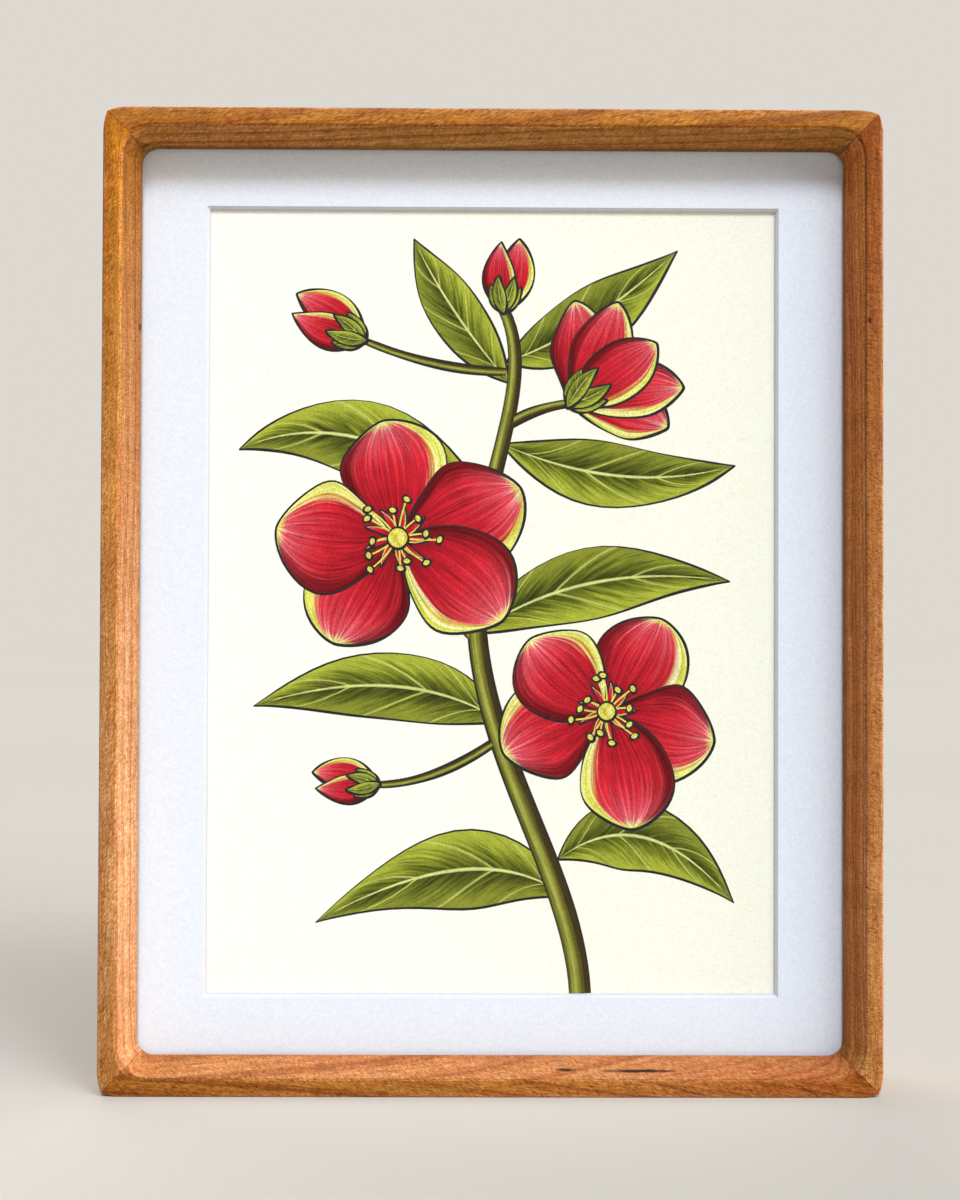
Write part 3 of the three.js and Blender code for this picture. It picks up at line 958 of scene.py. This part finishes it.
# The back: a fibreboard panel held in by framer's points, and two screw eyes for the wire.
backing = {
    "half": mat["half"],
    "frontY": -0.376,
    "backY": 2.624,
    "edge": 0.35,  # sawn edges, sanded off a little
}
points = {
    "reach": 6.5,  # clear of the rabbet wall
    "root": 3.6,  # driven into it
    "width": 9,
    "thickness": 0.7,
    "tipRadius": 2.4,
    "rootCut": 3.2,  # its corners are cut off, to a point that bites
    "rib": 0.45,  # how far the stamped middle stands out
    "margin": 3.1,  # round it
    "edge": 0.12,
    "sides": (-125, -20, 125),
    "ends": (-75, 75),
}
eyes = {
    "ringMiddle": (134.95, 10.674, 62),
    "ringRadius": 2.55,  # to the middle of the wire
    "wire": 0.75,
    "opening": 14,  # degrees left open where the wire meets its own shank
    "neckEnd": 144.7,
    "core": 0.78,
    "plainEnd": 0.9,  # the shank has no thread at its ends
    "threadPitch": 0.8,
    "threadFoot": 0.7,  # sunk a little into the core
    "threadCrest": 1.04,
}


def fibreboard():
    # Medium density fibreboard: pressed wood flour, brown, with pale and dark hairs of fibre.
    material, tree, shader = startMaterial("fibreboard")
    flour, tone = mottle(tree, 0.9 * mm, ((0.32, "#8d6b48"), (0.5, "#a5835c"), (0.7, "#bb9a72")),
                         detail=4, roughness=0.7)
    cloud = mottle(tree, 45 * mm, ((0.3, 0.88), (0.7, 1.06)), detail=4)[1]
    clouded = addNode(tree, "Mix", {0: 1, 6: tone, 7: cloud}, **stain)
    place = addNode(tree, "TexCoord").outputs["Object"]
    hairPlace = addNode(tree, "Mapping", {
        "Vector": place, "Rotation": (0, 0.6, 0), "Scale": (1 / (4 * mm), 1 / (0.5 * mm), 1 / (0.5 * mm)),
    })
    hair = addNode(tree, "TexNoise", {"Vector": hairPlace.outputs[0], "Scale": 1, "Detail": 2})
    hairTone = addNode(tree, "ValToRGB", {"Fac": hair.outputs["Fac"]},
                       stops=((0.24, 0.7), (0.36, 1), (0.68, 1), (0.76, 1.2)))
    haired = addNode(tree, "Mix", {0: 0.8, 6: clouded.outputs[2], 7: hairTone.outputs[0]}, **stain)
    bump = addNode(tree, "Bump", {"Height": flour, "Strength": 0.3, "Distance": 0.06 * mm})
    wire(tree, shader, {"Base Color": haired.outputs[2], "Roughness": 0.75, "Normal": bump.outputs[0]})
    return material


def platedMetal(name, dark, light, roughness):
    # Stamped or drawn metal under a thin plating: soft mirror, clouded where it was handled.
    material, tree, shader = startMaterial(name)
    cloud, tone = mottle(tree, 1.8 * mm, ((0.3, dark), (0.7, light)), detail=4)
    dull = addNode(tree, "MapRange", {
        "Value": cloud, "To Min": roughness + 0.12, "To Max": roughness - 0.06,
    })
    wire(tree, shader, {"Base Color": tone, "Roughness": dull.outputs[0], "Metallic": 1})
    return material


def addBacking():
    bm = bmesh.new()
    half, front, back = backing["half"], backing["frontY"], backing["backY"]
    bmesh.ops.create_cube(bm, size=1)
    bmesh.ops.scale(bm, vec=(2 * half[0], back - front, 2 * half[1]), verts=bm.verts)
    bmesh.ops.translate(bm, vec=(0, (back + front) / 2, 0), verts=bm.verts)
    roundEdges(bm, bm.edges[:], backing["edge"])
    finishPiece("backingBoard", bm, [fibreboard()], ["backing_board"])


def addPoint(name, spin, place, material):
    # modelled with its root towards +x and its face towards the wall, then turned into place
    bm = bmesh.new()
    length = points["reach"] + points["root"]
    bmesh.ops.create_cube(bm, size=1)
    bmesh.ops.scale(bm, vec=(length, points["thickness"], points["width"]), verts=bm.verts)
    bmesh.ops.translate(bm, vec=(points["root"] - length / 2, 0, 0), verts=bm.verts)
    for atRoot, offset, segments in ((False, points["tipRadius"], 6), (True, points["rootCut"], 1)):
        corners = [e for e in bm.edges if abs(e.verts[0].co.y - e.verts[1].co.y) > 0.1
                   and (e.verts[0].co.x > 0) == atRoot]
        roundEdges(bm, corners, offset, segments)
    face = max(bm.faces, key=lambda f: f.calc_center_median().y)
    bmesh.ops.inset_individual(bm, faces=[face], thickness=points["margin"])
    bmesh.ops.translate(bm, vec=(0, points["rib"], 0), verts=face.verts)
    roundEdges(bm, [e for e in bm.edges if e.calc_face_angle() > math.radians(12)], points["edge"])
    rotate(bm, bm.verts, spin, "Y")
    bmesh.ops.translate(bm, vec=(place[0], backing["backY"] + points["thickness"] / 2, place[1]),
                        verts=bm.verts)
    finishPiece(name.replace("point_", "framerPoint_"), bm, [material], [name])


def addEye(name, side, material):
    bm = bmesh.new()
    x, y, z = eyes["ringMiddle"]
    ring = bmesh.ops.create_circle(bm, radius=eyes["wire"], segments=14, cap_ends=True)["verts"]
    bmesh.ops.translate(bm, vec=(eyes["ringRadius"], 0, 0), verts=ring)
    faces = list({f for v in ring for f in v.link_faces})
    rotate(bm, ring, eyes["opening"], "Y")
    bmesh.ops.spin(bm, geom=faces, axis=(0, 1, 0), cent=(0, 0, 0),
                   angle=math.radians(360 - eyes["opening"]), steps=44)
    # shank with a rolled thread: a plain core and a helix that rides on it
    start = eyes["ringRadius"] - 0.2
    end = eyes["neckEnd"] - x
    core = bmesh.ops.create_cone(bm, cap_ends=True, segments=16, radius1=eyes["core"],
                                 radius2=eyes["core"], depth=end - start)["verts"]
    rotate(bm, core, 90, "Y")
    bmesh.ops.translate(bm, vec=((start + end) / 2, 0, 0), verts=core)
    pitch, plain, foot = eyes["threadPitch"], eyes["plainEnd"], eyes["threadFoot"]
    ridge = [bm.verts.new((start + plain + pitch * along, 0, rise)) for along, rise in (
        (0, foot), (0.35, eyes["threadCrest"]), (0.7, foot),
    )]
    thread = [bm.edges.new(pair) for pair in zip(ridge, ridge[1:] + ridge[:1])]
    turns = int((end - start - 2 * plain) / pitch)
    steps = 16  # a turn
    bmesh.ops.spin(bm, geom=ridge + thread, axis=(1, 0, 0), cent=(0, 0, 0), angle=math.tau * turns,
                   dvec=(pitch / steps, 0, 0), steps=steps * turns)
    bmesh.ops.holes_fill(bm, edges=[e for e in bm.edges if e.is_boundary], sides=0)
    if side < 0:
        rotate(bm, bm.verts, 180, "Y")
    bmesh.ops.translate(bm, vec=(side * x, y, z), verts=bm.verts)
    bmesh.ops.recalc_face_normals(bm, faces=bm.faces)
    finishPiece(name.replace("eye_", "screwEye_"), bm, [material], [name])


def addFasteners():
    zinc = platedMetal("zincPlatedSteel", "#9a9ea3", "#c3c6c8", 0.34)
    brass = platedMetal("brassPlatedSteel", "#b38840", "#d9b566", 0.3)
    wall = rails["rabbetHalf"]
    for i, along in enumerate(points["sides"]):
        addPoint(f"point_left_{i + 1}", 180, (-wall[0], along), zinc)
        addPoint(f"point_right_{i + 1}", 0, (wall[0], along), zinc)
    for i, along in enumerate(points["ends"]):
        addPoint(f"point_bottom_{i + 1}", 90, (along, -wall[1]), zinc)
        addPoint(f"point_top_{i + 1}", -90, (along, wall[1]), zinc)
    addEye("eye_left", -1, brass)
    addEye("eye_right", 1, brass)


addBacking()
addFasteners()
print("back closed")
